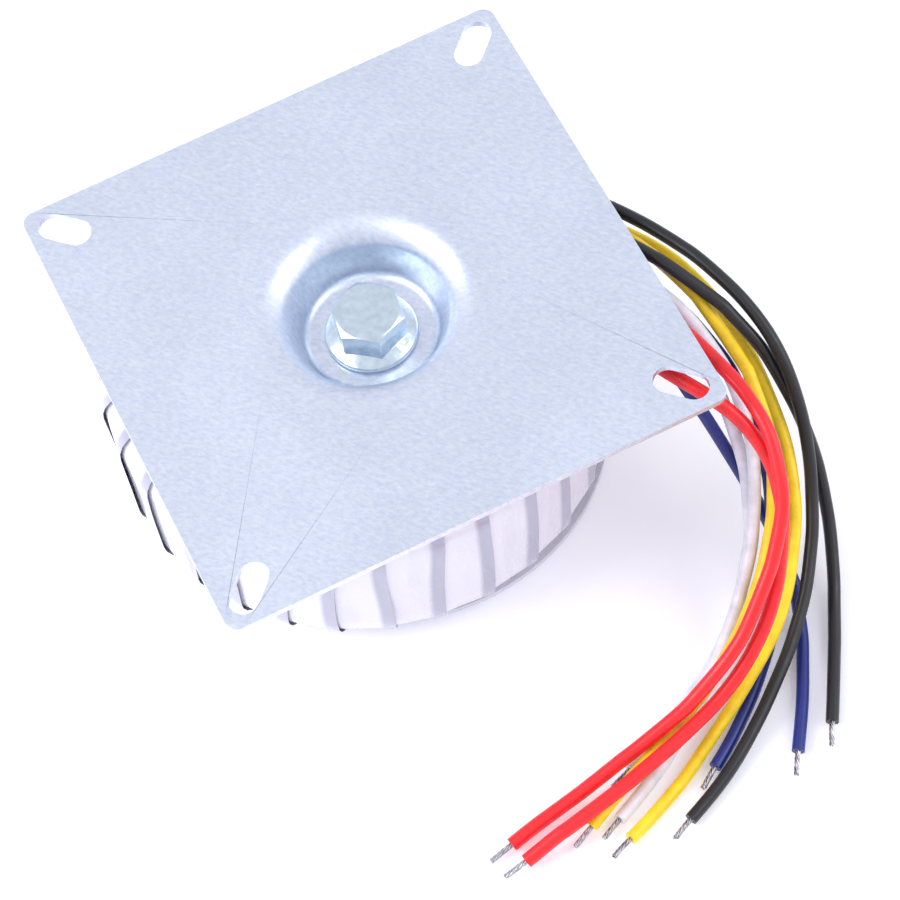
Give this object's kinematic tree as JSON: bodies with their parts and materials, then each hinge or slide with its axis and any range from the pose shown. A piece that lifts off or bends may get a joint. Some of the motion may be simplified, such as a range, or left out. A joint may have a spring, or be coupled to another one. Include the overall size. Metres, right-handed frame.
{
  "type": "toroidal transformer",
  "caption": "Toroidal mains transformer: film-wrapped ring coil clamped by a central bolt to a square slotted mounting plate, with loose stripped leads from one corner.",
  "frame": {"origin": "on the clamp bolt's axis, in the plane of the clamping disc's outer face that the transformer rests on", "axes": "+Z along the bolt, out of the mounting plate's face; +X through the slot by which the leads come out, and +Y through the next slot, 90 degrees on; the plate's sides lie at 45 degrees to both"},
  "size_m": [0.1371, 0.1225, 0.0394],
  "materials": {
    "zinc_plate": "zinc coated sheet, fine spangle",
    "zinc_bolt": "bluish zinc plating",
    "neoprene": "matt",
    "polyester_film": "clear glossy film over a pale layer",
    "enamelled_copper": "enamelled copper wire",
    "barrier_film": "matt",
    "tape": "crepe paper tape",
    "core_steel": "grain-oriented steel strip",
    "spring_steel": "zinc plated spring steel",
    "pvc_black": "semi-gloss PVC",
    "pvc_yellow": "semi-gloss PVC",
    "pvc_white": "semi-gloss PVC",
    "pvc_red": "semi-gloss PVC",
    "pvc_blue": "semi-gloss PVC",
    "tinned_copper": "tinned copper strands"
  },
  "bodies": {
    "root": {"mounting_plate": "zinc_plate", "clamp_bolt": "zinc_bolt", "upper_pad": "neoprene", "outer_wrap": "polyester_film", "secondary_winding": "enamelled_copper", "barrier_film": "barrier_film", "primary_winding": "enamelled_copper", "core_tape": "tape", "core": "core_steel", "lower_pad": "neoprene", "clamp_disc": "zinc_plate", "flat_washer": "zinc_plate", "spring_washer": "spring_steel", "clamp_nut": "zinc_bolt", "lead_black_1": "pvc_black", "lead_black_2": "pvc_black", "lead_yellow_1": "pvc_yellow", "lead_yellow_2": "pvc_yellow", "lead_white_1": "pvc_white", "lead_white_2": "pvc_white", "lead_red_1": "pvc_red", "lead_red_2": "pvc_red", "lead_blue_1": "pvc_blue", "lead_blue_2": "pvc_blue", "strands_black_1": "tinned_copper", "strands_black_2": "tinned_copper", "strands_yellow_1": "tinned_copper", "strands_yellow_2": "tinned_copper", "strands_white_1": "tinned_copper", "strands_white_2": "tinned_copper", "strands_red_1": "tinned_copper", "strands_red_2": "tinned_copper", "strands_blue_1": "tinned_copper", "strands_blue_2": "tinned_copper"}
  },
  "joints": []
}
